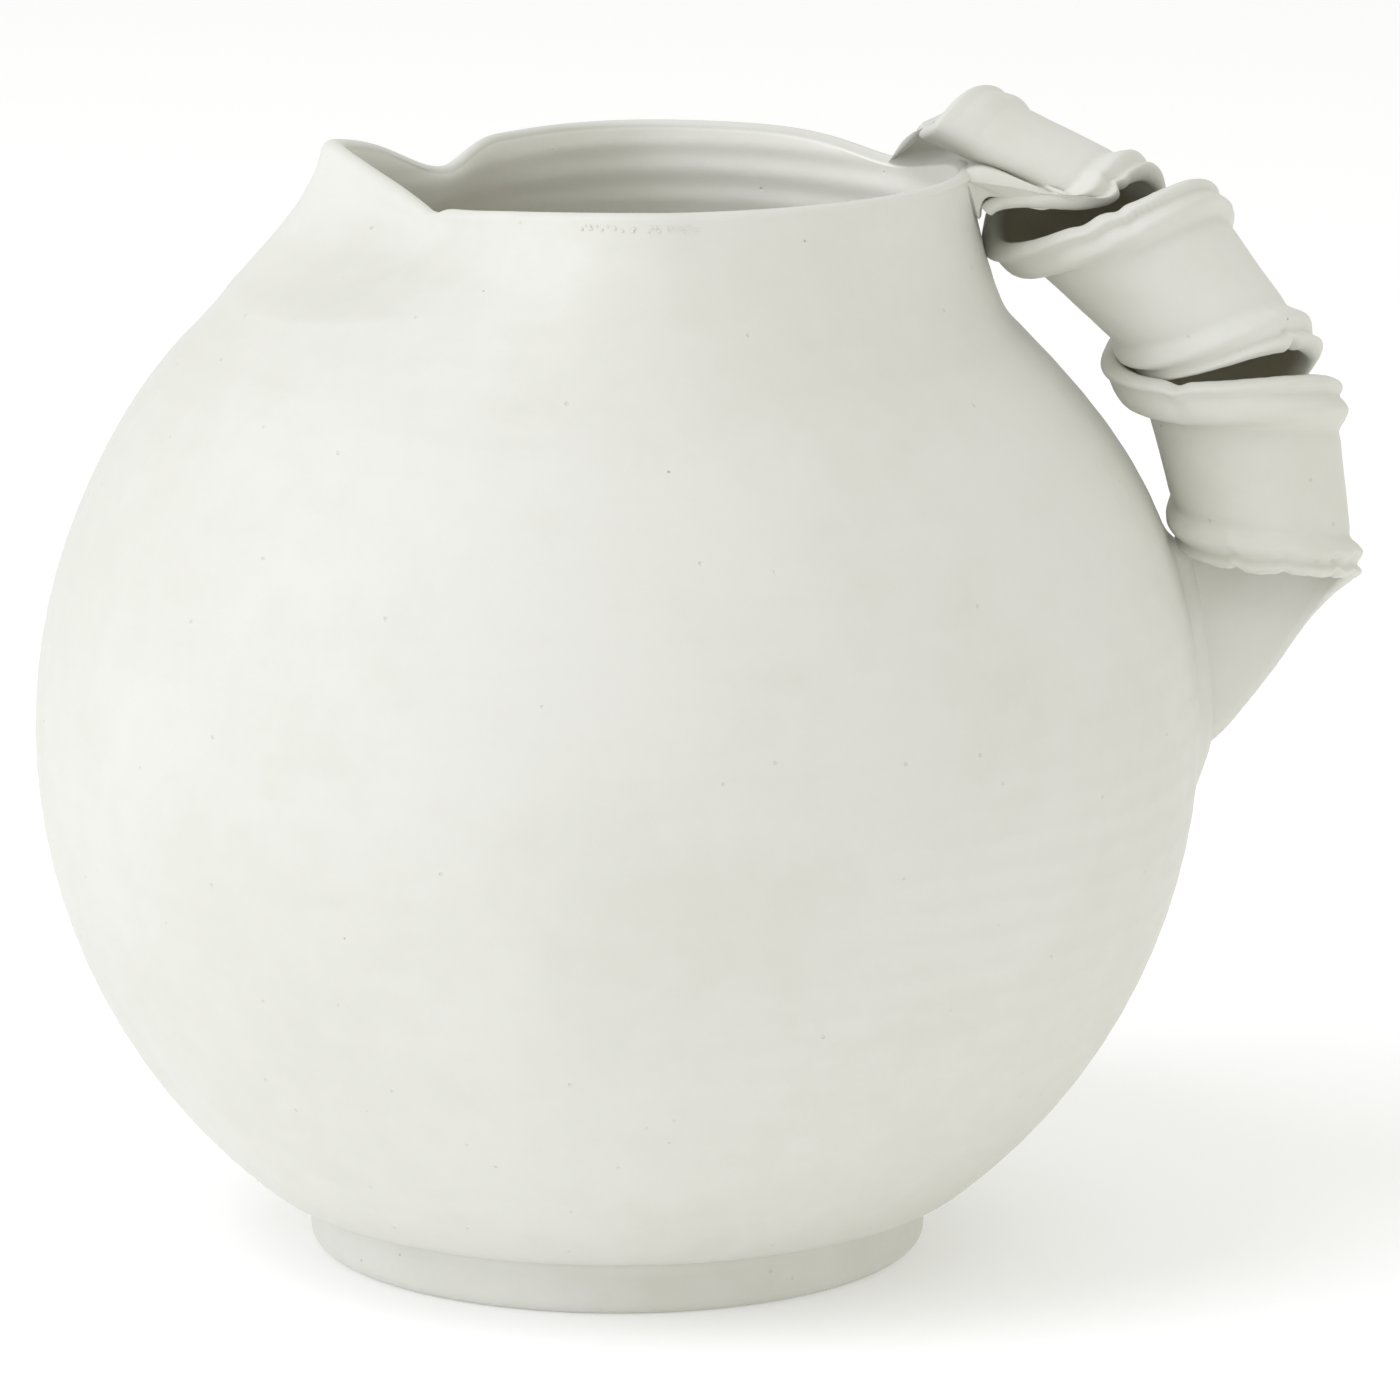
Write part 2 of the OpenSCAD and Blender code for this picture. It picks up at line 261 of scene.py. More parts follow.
def bezier(p, u):
    """Points of a cubic curve; p has its four points and u runs from 0 to 1."""
    u = np.asarray(u, float)[..., None]
    a, b, c, d = (np.asarray(q, float) for q in p)
    return a * (1 - u) ** 3 + 3 * b * u * (1 - u) ** 2 + 3 * c * u * u * (1 - u) + d * u ** 3


def rounded_corner(before, corner, after, count):
    """Points that cut a corner from one point to another in a smooth curve."""
    u = np.linspace(0, 1, count)[:, None]
    return before * (1 - u) ** 2 + 2 * corner * u * (1 - u) + after * u * u


def hermite(p0, m0, p1, m1, u):
    """A cubic from p0 to p1 that leaves along m0 and arrives along m1."""
    return (p0 * (2 * u ** 3 - 3 * u * u + 1) + m0 * (u ** 3 - 2 * u * u + u)
            + p1 * (3 * u * u - 2 * u ** 3) + m1 * (u ** 3 - u * u))


def smooth_table(pairs, x):
    """A smooth curve through (position, value) pairs."""
    at, value = np.array(pairs, float).T
    last = len(at) - 1
    before = np.maximum(np.arange(last + 1) - 1, 0)
    after = np.minimum(np.arange(last + 1) + 1, last)
    slope = (value[after] - value[before]) / (at[after] - at[before])
    i = np.clip(np.searchsorted(at, x, side="right") - 1, 0, last - 1)
    width = at[i + 1] - at[i]
    return hermite(value[i], slope[i] * width, value[i + 1], slope[i + 1] * width, (x - at[i]) / width)


# -------------------------------------------------------------------- meshes

# Angles past which an edge between two faces stays crisp
WALL_SHARP = 28
STRAP_SHARP = 62


def grid_faces(rows, columns, wrap_rows=False, wrap_columns=False):
    """Quads of a grid of points that are listed row by row."""
    i = np.arange(rows if wrap_rows else rows - 1)[:, None]
    j = np.arange(columns if wrap_columns else columns - 1)[None, :]
    below = (i + 1) % rows * columns
    beside = (j + 1) % columns
    quads = np.stack([i * columns + j, i * columns + beside, below + beside, below + j], -1)
    return quads.reshape(-1, 4).tolist()


def strip_cap(start, count):
    """Quads that close a ring of points, between its first and second half."""
    return [[start + j, start + j + 1, start + count - 2 - j, start + count - 1 - j]
            for j in range(count // 2 - 1)]


def tidy_mesh(mesh, sharp):
    """Merge doubles, turn all faces outwards and shade smooth up to an angle in degrees."""
    work = bmesh.new()
    work.from_mesh(mesh)
    bmesh.ops.remove_doubles(work, verts=work.verts, dist=0.002 * MM)
    bmesh.ops.recalc_face_normals(work, faces=work.faces)
    work.to_mesh(mesh)
    work.free()
    mesh.shade_smooth()
    mesh.set_sharp_from_angle(angle=math.radians(sharp))


def piece(name, points, faces, material, marks=None, sharp=WALL_SHARP):
    """An object from points in millimetres. marks are number attributes by name."""
    mesh = bpy.data.meshes.new(name)
    mesh.from_pydata((np.asarray(points, float).reshape(-1, 3) * MM).tolist(), [], faces)
    for mark, values in (marks or {}).items():
        layer = mesh.attributes.new(mark, "FLOAT", "POINT")
        layer.data.foreach_set("value", np.asarray(values, np.float32).ravel())
    mesh.materials.append(material)
    tidy_mesh(mesh, sharp)
    thing = bpy.data.objects.new(name, mesh)
    bpy.context.scene.collection.objects.link(thing)
    return thing


def closed_loft(name, rings, material, marks=None):
    """A closed skin over rings with equal numbers of points, capped at both ends."""
    rows, columns = rings.shape[:2]
    faces = grid_faces(rows, columns, wrap_columns=True)
    faces += strip_cap(0, columns) + strip_cap((rows - 1) * columns, columns)
    return piece(name, rings, faces, material, marks)


def new_tree(name, sizes):
    """A Geometry Nodes tree with named number inputs, a material input and its geometry."""
    tree = bpy.data.node_groups.new(name, "GeometryNodeTree")
    tree.interface.new_socket("Geometry", in_out="OUTPUT", socket_type="NodeSocketGeometry")
    tree.interface.new_socket("Geometry", in_out="INPUT", socket_type="NodeSocketGeometry")
    for label in sizes:
        tree.interface.new_socket(label, in_out="INPUT", socket_type="NodeSocketFloat")
    tree.interface.new_socket("Material", in_out="INPUT", socket_type="NodeSocketMaterial")
    inputs = tree.nodes.new("NodeGroupInput")
    return tree, {socket.name: Field(tree, socket) for socket in inputs.outputs if socket.name}


def close_tree(tree, geometry, material):
    """End a tree with Realize Instances and Set Material."""
    real = add(tree, "GeometryNodeRealizeInstances", values={"Geometry": geometry})
    dressed = add(tree, "GeometryNodeSetMaterial", values={"Geometry": real, "Material": material})
    add(tree, "NodeGroupOutput", values={0: dressed})


def grow(thing, tree, material, sharp=WALL_SHARP, **sizes):
    """Run a tree on an object, with its inputs by name, and keep the result as a plain mesh."""
    modifier = thing.modifiers.new(tree.name, "NODES")
    modifier.node_group = tree
    wanted = {label.replace("_", " ").capitalize(): value for label, value in sizes.items()}
    wanted["Material"] = material
    for item in tree.interface.items_tree:
        if item.in_out == "INPUT" and item.name in wanted:
            modifier[item.identifier] = wanted[item.name]
    shown = thing.evaluated_get(bpy.context.evaluated_depsgraph_get())
    mesh = bpy.data.meshes.new_from_object(shown)
    mesh.name = thing.name
    thing.modifiers.clear()
    thing.data = mesh
    tidy_mesh(mesh, sharp)
    return thing


def dress(thing, slot, *nodes):
    """Hand a finished piece to the frame: its body, its material slot and what it stands for."""
    if nodes:
        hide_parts(*nodes)
    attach(thing, "root")


# ------------------------------------------------- wall: globe, collar, spout

def top_corner(node):
    """The highest corner of a CAD node's box, in millimetres."""
    return np.array(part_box(node)[1]) / MM


_, globe_r, joint_z = top_corner("globe")
foot_top_r, _, foot_h = top_corner("foot_ring")
collar_base_r, _, rim_z = top_corner("neck_collar")
tip_z = top_corner("pouring_spout")[2]

# The wall of the globe
globe_wall = 4.5
floor_t = 6
shoulder_shift = 4
seat_r = 71

# The collar and the spout
rim_r = 73
lip_t = 3.4
lip_drop = 10
waist_gap = 1
throat_lean = 3.4
throat_rise = 8
spout_half_angle = 38
spout_fade_angle = 24
spout_belly = 2.5
spout_stretch = 2
pinch_depth = 25.8
pinch_drop = 4.7
pinch_reach = 100
tip_setback = 12.5
tip_round = 5

# Worked out from these
globe_z = foot_h + math.sqrt(globe_r ** 2 - seat_r ** 2)
shoulder_r = globe_r - shoulder_shift
joint_in_r = shoulder_shift + math.sqrt((shoulder_r - globe_wall) ** 2 - (joint_z - globe_z) ** 2)
pinch_r = rim_r - pinch_depth
pinch_z = rim_z - pinch_drop
tip_r = rim_r - tip_setback

# Small unevenness of the rim: lifts, sags and dips
front_lift = 0.5
front_level_angle = 96
back_sag = 1.2
back_level_angle = 63
back_haste = 0.7
tilt_full_angle = 70
side_fade = 0.3
tip_sink = 1.2
tip_fullness = 1.7
cut_sharpness = 1.35
pinch_dip = 2.5
dip_angle = 33
dip_width = 6
root_sag = 4.2
root_sag_angle = 214
root_sag_width = 17

# Small unevenness of the shoulder, and the softness of the crease under the collar
shoulder_flat = 3.0
shoulder_full = 1.4
shoulder_drop = 4
shoulder_reach = 22
shoulder_fade = 40
crease_side = 5
crease_front = 17
crease_spout = 6
crease_share = 34
crease_limit = 0.45


def fold(a):
    """Angle away from the spout's middle, from 0 to 180."""
    a = np.mod(a, 360)
    return np.minimum(a, 360 - a)


def spout_share(t):
    """1 at the spout's tip and 0 from the pinch on, rounded at the tip."""
    def soft(x):
        return math.sqrt(x * x + tip_round ** 2) - tip_round
    return 1 - min(1, soft(t) / soft(spout_half_angle))


def side_share(t, reach):
    """0 at the pinch and 1 from the angle reach on."""
    u = min(1, max(0, (t - spout_half_angle) / (reach - spout_half_angle)))
    return math.sin(math.pi / 2 * u) ** 2


def rim_radius(a):
    """The lip's outer radius."""
    t = fold(a)
    return (pinch_r + (tip_r - pinch_r) * spout_share(t) ** 2
            + pinch_depth * side_share(t, pinch_reach))


def pinch_sink(t):
    """How far the near side of the rim sinks beside the pinch."""
    if t < dip_angle:
        return pinch_dip * (1 - (1 - t / dip_angle) ** 2)
    return pinch_dip * bell(t, dip_angle, dip_width)


def rim_height(a):
    """The lip's highest level: spout, pinch, and the rim with its tilt and sag."""
    t = fold(a)
    side = math.sin(math.radians(a))
    near = ease(-side_fade, side_fade, side)
    if t < spout_half_angle:
        u = t / spout_half_angle
        rolled = (1 - math.cos(math.pi * u)) / 2
        cut = u ** cut_sharpness
        height = mix(tip_z - tip_sink, pinch_z, mix(rolled, cut, near))
    else:
        reach = mix(back_level_angle, front_level_angle, near)
        height = mix(pinch_z, rim_z, side_share(t, reach) ** mix(back_haste, 1, near))
    tilt = (front_lift if side > 0 else back_sag) * side * ease(spout_half_angle, tilt_full_angle, t)
    turn = (a - root_sag_angle + 180) % 360 - 180
    return height + tilt - near * pinch_sink(t) - root_sag * bell(turn, 0, root_sag_width)


def spout_blend(a):
    """1 in the spout's middle, falling to 0 a little past the pinch."""
    return 1 - ease(0, spout_half_angle + spout_fade_angle, fold(a))


def lip_width(a):
    """Thickness of the rounded lip, fuller at the spout's tip."""
    return lip_t + tip_fullness * spout_share(fold(a))


def wall_curve(a, inner):
    """The collar's outer or inner line at one angle, from its joint up to the lip."""
    s = spout_blend(a)
    r = rim_radius(a) - (lip_width(a) if inner else 0)
    h = rim_height(a) - lip_width(a) / 2
    base = joint_in_r if inner else collar_base_r
    lean = waist_gap if inner else throat_lean
    return [(base, joint_z),
            (base - lean - (throat_lean - waist_gap) * s, joint_z + throat_rise + spout_stretch * s),
            (r + spout_belly * s, h - lip_drop - spout_stretch * s),
            (r, h)]


def arc(centre_r, radius, low, high, count):
    """Points of an arc about a centre on the globe's widest level, angles in radians."""
    turn = np.linspace(low, high, count)
    return np.stack([centre_r + radius * np.cos(turn), globe_z + radius * np.sin(turn)], -1)


# Points along each stretch of the wall's line
BELLY_POINTS = 78
SHOULDER_POINTS = 40
CREASE_POINTS = 21
COLLAR_POINTS = 34
LIP_POINTS = 9
HEEL_POINTS = 6
FLOOR_POINTS = 14

# How far above the base and above the floor the round belly starts
heel_rise = 3
inner_heel_rise = 10


def globe_part(crease, inner):
    """Belly and shoulder of one side of the wall, bottom to top."""
    inset = globe_wall if inner else 0
    low_z = foot_h + (floor_t + inner_heel_rise if inner else heel_rise)
    low = math.asin((low_z - globe_z) / (globe_r - inset))
    high = math.asin((joint_z - globe_z) / (shoulder_r - inset)) - crease / shoulder_r
    belly = arc(0, globe_r - inset, low, 0, BELLY_POINTS)[:-1]
    shoulder = arc(shoulder_shift, shoulder_r - inset, 0, high, SHOULDER_POINTS)
    return np.concatenate([belly, shoulder])


def wall_side(a, inner):
    """One side of the wall at one angle: globe part, seam's crease and collar part."""
    crease = mix(crease_side, crease_front, abs(math.sin(math.radians(a))) ** 2)
    crease = mix(crease, crease_spout, spout_blend(a))
    globe_line = globe_part(crease, inner)
    curve = wall_curve(a, inner)
    start = min(crease_limit, crease / crease_share)
    collar_line = bezier(curve, np.linspace(start, 1, COLLAR_POINTS))
    corner = rounded_corner(globe_line[-1], np.array(curve[0]), collar_line[0], CREASE_POINTS)
    line = np.concatenate([globe_line[:-1], corner, collar_line[1:]])
    to_handle = -math.cos(math.radians(a))
    above = ease(globe_z, globe_z + shoulder_fade, line[:, 1])
    near_crease = bell(line[:, 1], joint_z - shoulder_drop, shoulder_reach) * above
    line[:, 0] -= shoulder_flat * max(0, to_handle) ** 2 * near_crease
    line[:, 0] += shoulder_full * max(0, -to_handle) ** 2 * near_crease
    seam = len(globe_line) - 1 + CREASE_POINTS // 2
    return line, seam


def lip_line(a):
    """The rounded lip at one angle, from its outer side to its inner."""
    turn = np.linspace(0, math.pi, LIP_POINTS + 2)[1:-1]
    half = lip_width(a) / 2
    return np.stack([rim_radius(a) - half + half * np.cos(turn),
                     rim_height(a) - half + half * np.sin(turn)], -1)


def around(line, a):
    """A line of (radius, height) points set up at an angle round the wall."""
    turn = math.radians(a)
    return np.stack([-line[:, 0] * math.cos(turn), -line[:, 0] * math.sin(turn), line[:, 1]], -1)


# Throwing rings in millimetres: depths, the rise to full depth, and where they end below the rim
outer_ring_depth = 0.08
belly_ring_depth = 0.15
neck_ring_depth = 0.34
ring_rise = 20
rings_fade = 5
outer_rings_end = 8
inner_rings_end = 7


def ring_marks(outer_z, inner_z):
    """Depth of the throwing rings in millimetres, by height, outside and inside."""
    outer_end, inner_end = rim_z - outer_rings_end, rim_z - inner_rings_end
    outside = outer_ring_depth * ease(foot_h, foot_h + ring_rise, outer_z)
    outside = outside * (1 - ease(outer_end, outer_end + rings_fade, outer_z))
    inside = mix(belly_ring_depth, neck_ring_depth, ease(joint_z - ring_rise, joint_z, inner_z))
    inside = inside * (1 - ease(inner_end, inner_end + rings_fade, inner_z))
    return np.concatenate([outside, inside])


# These shares become the attribute inside, where the body's glaze paints light onto the wall's inside
def inner_share(outer_count, inner_count):
    """0 for the points of the outer side and 1 for those of the inner side."""
    return np.repeat([0, 1], [outer_count, inner_count])


def collar_rings(angles):
    """Closed rings of the wall above the crease at each angle, and their number attributes."""
    rings, marks, shares = [], [], []
    for a in angles:
        outer, seam = wall_side(a, False)
        inner, seam_in = wall_side(a, True)
        lip = lip_line(a)
        outer, inner = outer[seam:], inner[seam_in:][::-1]
        rings.append(around(np.concatenate([outer, lip, inner]), a))
        marks.append(ring_marks(np.concatenate([outer[:, 1], lip[:, 1]]), inner[:, 1]))
        shares.append(inner_share(len(outer) + len(lip), len(inner)))
    return np.array(rings), {"ring_depth": marks, "inside": shares}


# Steps round the globe, then its heel and its floor's corner in millimetres
globe_steps = 288
heel_round = 3
floor_corner = 2
floor_round = 22
hub_r = 12


def make_globe():
    """Belly and shoulder up to the crease, with the floor inside and the base under it."""
    floor_z = foot_h + floor_t
    floor_r = math.sqrt((globe_r - globe_wall) ** 2 - (globe_z - floor_z) ** 2)
    underside = [(r, foot_h) for r in (20, 40, 55, seat_r - 5)]
    middle = [(floor_r / 2, floor_z), (hub_r, floor_z)]
    rows, marks, shares = [], [], []
    for i in range(globe_steps):
        a = 360 * i / globe_steps
        outer, seam = wall_side(a, False)
        inner, seam_in = wall_side(a, True)
        heel = rounded_corner(np.array([seat_r - heel_round, foot_h]), np.array([seat_r, foot_h]),
                              outer[0], HEEL_POINTS)
        floor = rounded_corner(inner[0], np.array([floor_r - floor_corner, floor_z]),
                               np.array([floor_r - floor_round, floor_z]), FLOOR_POINTS)
        outer = np.concatenate([underside, heel[:-1], outer[:seam + 1]])
        inner = np.concatenate([inner[:seam_in + 1][::-1], floor[1:], middle])
        rows.append(around(np.concatenate([outer, inner]), a))
        marks.append(ring_marks(outer[:, 1], inner[:, 1]))
        shares.append(inner_share(len(outer), len(inner)))
    rows = np.array(rows)
    columns = rows.shape[1]
    points = np.concatenate([rows.reshape(-1, 3), [(0, 0, foot_h), (0, 0, floor_z)]])
    under, over = len(points) - 2, len(points) - 1
    faces = grid_faces(globe_steps, columns, wrap_rows=True)
    for i in range(globe_steps):
        here, beside = i * columns, (i + 1) % globe_steps * columns
        faces.append([under, here, beside])
        faces.append([over, beside + columns - 1, here + columns - 1])
    layers = {"ring_depth": np.append(marks, [0, 0]), "inside": np.append(shares, [0, 1])}
    return piece("globe_wall", points, faces, body_glaze, layers)


# How far slow noise shifts the throwing rings' phase, in radians
ring_turns_waver = 5


def throwing_tree():
    """Spiral throwing rings and a slow wobble, both pressed in towards the axis."""
    labels = ("Ring pitch", "Ring scale", "Wobble", "Wobble size")
    tree, given = new_tree("throwing_marks", labels)
    place = add(tree, "GeometryNodeInputPosition")
    x, y, z = split(place)
    depth = add(tree, "GeometryNodeInputNamedAttribute", {"data_type": "FLOAT"}, {"Name": "ring_depth"})
    turn = place.math("ARCTAN2", y, x)
    slow = add(tree, "ShaderNodeTexNoise", values={
        "Vector": place, "Scale": 1 / given["Wobble size"], "Detail": 1.5})
    phase = z / given["Ring pitch"] * (2 * math.pi) + turn + slow * ring_turns_waver
    ring = 0.5 - 0.5 * phase.sine()
    inward = ring * depth * given["Ring scale"] * MM + slow * given["Wobble"]
    outward = add(tree, "ShaderNodeVectorMath", {"operation": "NORMALIZE"}, {0: combine(tree, x, y)})
    shift = scaled(outward, 0 - inward)
    moved = add(tree, "GeometryNodeSetPosition", values={"Geometry": given["Geometry"], "Offset": shift})
    close_tree(tree, moved, given["Material"])
    return tree


# ---------------------------------------------------------------- foot ring

# Sizes in millimetres, steps, and where the flare starts as a share of half the height
foot_r = 64
foot_width = 12
foot_edge_r = 3
foot_round_steps = 256
foot_corner_steps = 8
foot_section_steps = 72
foot_wobble_scale = 22.0
flare_start = 0.1


def foot_tree():
    """A rectangle with rounded corners swept round a circle, flared where it meets the belly."""
    labels = ("Outer radius", "Width", "Height", "Edge radius", "Flare", "Unevenness")
    tree, given = new_tree("turned_foot", labels)
    middle = given["Outer radius"] - given["Width"] / 2
    circle = add(tree, "GeometryNodeCurvePrimitiveCircle", values={
        "Resolution": foot_round_steps, "Radius": middle})
    sides = {"Width": given["Width"], "Height": given["Height"]}
    section = add(tree, "GeometryNodeCurvePrimitiveQuadrilateral", values=sides)
    rounded = add(tree, "GeometryNodeFilletCurve", {"mode": "POLY"}, {
        "Curve": section, "Count": foot_corner_steps, "Radius": given["Edge radius"]})
    even = add(tree, "GeometryNodeResampleCurve", values={
        "Curve": rounded, "Count": foot_section_steps})
    swept = add(tree, "GeometryNodeCurveToMesh", values={"Curve": circle, "Profile Curve": even})
    place = add(tree, "GeometryNodeInputPosition")
    x, y, z = split(place)
    half = given["Height"] / 2
    slow = add(tree, "ShaderNodeTexNoise", values={
        "Vector": place, "Scale": foot_wobble_scale, "Detail": 2.0})
    flat = combine(tree, x, y)
    outward = add(tree, "ShaderNodeVectorMath", {"operation": "NORMALIZE"}, {0: flat})
    size = add(tree, "ShaderNodeVectorMath", {"operation": "LENGTH"}, {0: flat}, out="Value")
    outside = size > middle
    rise = smooth_step(z, half * flare_start, half)
    spread = outside * rise * rise * given["Flare"] - slow * given["Unevenness"]
    total = add(tree, "ShaderNodeVectorMath", {"operation": "ADD"}, {
        0: scaled(outward, spread), 1: combine(tree, z=half)})
    moved = add(tree, "GeometryNodeSetPosition", values={"Geometry": swept, "Offset": total})
    close_tree(tree, moved, given["Material"])
    return tree


# -------------------------------------------------------------------- strap

# The strap and its joints
strap_t = 3.4
strap_taper = 0.3
ridge_h = 2.5
ridge_at = 0.72
turn_gap = 0.6
luting_depth = 0.5
bed_h = 2.4

# The coil: its radii, and the arc that its centre line follows
coil_top_r = 10
coil_low_r = 16.6
coil_standoff = 11.4
coil_rim_gap = 7
coil_rim_rise = -0.8
coil_foot_rise = 39.2
pitch_angle = 28.15
drawn_angle = 66.5

arc_top_x = rim_r + coil_rim_gap
arc_top_z = rim_z + coil_rim_rise
arc_low_x = globe_r + coil_standoff
arc_z = globe_z + coil_foot_rise
arc_dx = arc_low_x - arc_top_x
arc_dz = arc_top_z - arc_z
arc_r = (arc_dx ** 2 + arc_dz ** 2) / (2 * arc_dx)
arc_x = arc_low_x - arc_r
top_angle = math.degrees(math.atan2(arc_dz, arc_top_x - arc_x))
angle_scale = top_angle / drawn_angle
strap_w = arc_r * math.radians(pitch_angle * angle_scale) - turn_gap

# Places along the strap, counted in turns of the coil
root_turn = -0.25
coil_start = 0.06
coil_end = 2.27
tail_turn = 2.75

# Where the strap starts outside the collar, and the way it leaves there at its two edges
root_back_angle = 34
root_front_angle = -9
root_drop_back = 5
root_drop_front = 8.5
root_pull_back = np.array([2.0, 4.0, 34.0])
root_pull_front = np.array([12.0, -4.0, 14.0])

# Where it ends on the belly, and the way it arrives there at its two edges
tail_drop = 32
tail_y = 3
tail_haste = 1.15
tail_pull_upper = np.array([-22.0, -4.0, -2.0])
tail_pull_lower = np.array([-16.0, -4.0, -6.0])

# Turn of the strap, then an angle down the arc, a share of growth, a curl in millimetres
coil_angles = [(-0.25, -5.5), (0, 0), (0.25, 4.5), (0.75, 19), (1, 26.5), (1.25, 32.3),
               (1.75, 50.5), (2, 56.3), (2.25, 60.6), (2.5, 65)]
coil_growth = [(-0.25, 0.15), (0.25, 0), (0.5, 0.38), (0.75, 0.8), (1, 0.88), (1.25, 0.76),
               (1.75, 0.97), (2, 1), (2.5, 1)]
edge_curl = [(0, 0), (0.5, 1), (0.75, 3.5), (1, 0.8), (1.25, 0.6), (1.5, 2.6), (1.72, 5.4),
             (1.88, 4.6), (2.1, 0.6), (2.5, 0)]

# The curl lifts the upper edge only, between these places across the strap
curl_from = 0.5
curl_to = 0.86


def vector(x, y, z):
    """Points from their three parts, which may be arrays or single numbers."""
    return np.stack(np.broadcast_arrays(x, y, z), -1).astype(float)


def coil_angle(q):
    """Where the coil's centre is on its arc at turn q, as an angle above level."""
    return np.radians(top_angle - angle_scale * smooth_table(coil_angles, q))


def coil_point(q, v):
    """Middle of the strap on the coil at turn q; v is -1 at its upper edge, 1 at its lower."""
    a = coil_angle(q)
    out = vector(np.cos(a), 0, np.sin(a))
    down = vector(np.sin(a), 0, -np.cos(a))
    turn = math.pi / 2 - 2 * math.pi * q
    curled = ease(curl_from, curl_to, -v)
    side = out * np.cos(turn)[..., None] + np.array([0, -1, 0]) * np.sin(turn)[..., None]
    r = (mix(coil_top_r, coil_low_r, smooth_table(coil_growth, q)) + strap_taper * v
         + smooth_table(edge_curl, q) * curled)
    centre = np.array([arc_x, 0, arc_z]) + out * arc_r
    return centre + down * (v * strap_w / 2)[..., None] + side * r[..., None]


collar_line = bezier(wall_curve(180, False), np.linspace(0, 1, 300))


def collar_radius(z):
    """The collar's outer radius on the handle's side."""
    return np.interp(z, collar_line[:, 1], collar_line[:, 0])


def root_z(k):
    """Level of the strap's start; k is 0 at its back edge and 1 at its front edge."""
    return rim_z - mix(root_drop_back, root_drop_front, k)


def root_point(v):
    """The strap's start, on the outside of the collar."""
    k = (v + 1) / 2
    a = np.radians(mix(root_back_angle, root_front_angle, k))
    r = collar_radius(root_z(k)) + strap_t / 2
    return vector(r * np.cos(a), r * np.sin(a), root_z(k))


def root_pull(v):
    k = ((v + 1) / 2)[..., None]
    return mix(root_pull_back, root_pull_front, k)


tail_z = arc_z + arc_r * math.sin(coil_angle(np.array(coil_end))) - tail_drop


def tail_point(v):
    """The strap's end, pressed into the bed on the belly."""
    z = tail_z - v * strap_w / 2
    r = globe_r + bed_h - luting_depth
    return vector(np.sqrt(r * r - (z - globe_z) ** 2 - tail_y ** 2), tail_y, z)


def tail_pull(v):
    k = ((v + 1) / 2)[..., None]
    return mix(tail_pull_upper, tail_pull_lower, k)


SLOPE_STEP = 0.002


def coil_pull(q, v):
    """How the coil runs on, in millimetres for each turn."""
    return (coil_point(q + SLOPE_STEP, v) - coil_point(q - SLOPE_STEP, v)) / (2 * SLOPE_STEP)


def strap_middle(q, v):
    """Middle surface of the strap: root patch, coil and tail patch."""
    start, end = 0 * q + coil_start, 0 * q + coil_end
    root_span, tail_span = coil_start - root_turn, tail_turn - coil_end
    at_root = hermite(root_point(v), root_pull(v), coil_point(start, v), coil_pull(start, v) * root_span,
                      ((q - root_turn) / root_span)[..., None])
    at_tail = hermite(coil_point(end, v), coil_pull(end, v) * (tail_span * tail_haste), tail_point(v),
                      tail_pull(v), ((q - coil_end) / tail_span)[..., None])
    middle = np.where((q < coil_start)[..., None], at_root, coil_point(q, v))
    return np.where((q > coil_end)[..., None], at_tail, middle)


def strap_normal(q, v):
    """Which way the strap's ridged face looks."""
    across = strap_middle(q, v + SLOPE_STEP) - strap_middle(q, v - SLOPE_STEP)
    along = strap_middle(q + SLOPE_STEP, v) - strap_middle(q - SLOPE_STEP, v)
    return unit(np.cross(across, along))


# Tears in the strap's edges: (turn, half length in turns, depth in mm, edge)
tears = [(0.085, 0.012, 1.3, 1), (0.12, 0.05, 0.8, 1), (1.13, 0.010, 1.4, 1), (1.17, 0.03, 0.7, 1),
         (1.93, 0.012, 0.9, 1), (2.02, 0.015, 0.7, 1), (2.12, 0.010, 1.0, 1), (2.17, 0.012, 0.8, 1),
         (0.96, 0.02, 0.8, -1), (1.02, 0.012, 0.6, -1), (1.9, 0.014, 0.8, -1), (2.6, 0.02, 0.9, -1)]

# Places where the strap is wider than usual: (turn, half length in turns, mm, edge)
wide_places = [(1.22, 0.13, 3.2, 1), (2.16, 0.16, 2.4, -1)]

# Waves of the ragged edge: (depth in mm, rate, shift by edge, start)
edge_waves = [(0.12, 31, 1, 0), (0.06, 91, 2, 0), (0.04, 230, 0, 3)]
edge_wear = 0.22
usual_wear = 0.5
low_turn_wear = 1.2
low_turn_span = (1.75, 1.95, 2.25, 2.4)


def edge_loss(q, edge):
    """How many millimetres an edge, 1 or -1, falls short of the strap's full width."""
    low_turn = between(q, *low_turn_span) * (edge > 0)
    waves = edge_wear
    for depth, rate, shift, start in edge_waves:
        waves = waves + depth * np.sin(rate * q + shift * edge + start)
    loss = (usual_wear + low_turn_wear * low_turn) * waves
    for turn, reach, depth, side in tears:
        if side == edge:
            loss = loss + depth * bell(q, turn, reach)
    for turn, reach, extra, side in wide_places:
        if side == edge:
            loss = loss - extra * bell(q, turn, reach)
    return loss


# Bands along both edges: (place across, half width, height in mm)
ridge_bands = [(ridge_at, 0.105, 0.88 * ridge_h), (0.93, 0.062, 0.56 * ridge_h)]
groove_bands = [(0.845, 0.03, -0.15), (0.53, 0.06, -0.25)]
faint_band = [(0.62, 0.03, 0.25)]
faint_rate = 9

# Where the bands come and go along the strap, in turns, and what is left of them
bands_full = 0.05
tail_flattening = 0.6
upper_band_share = 0.25
upper_band_span = (0.2, 0.6)
upper_ridge_span = (0.02, 0.34)

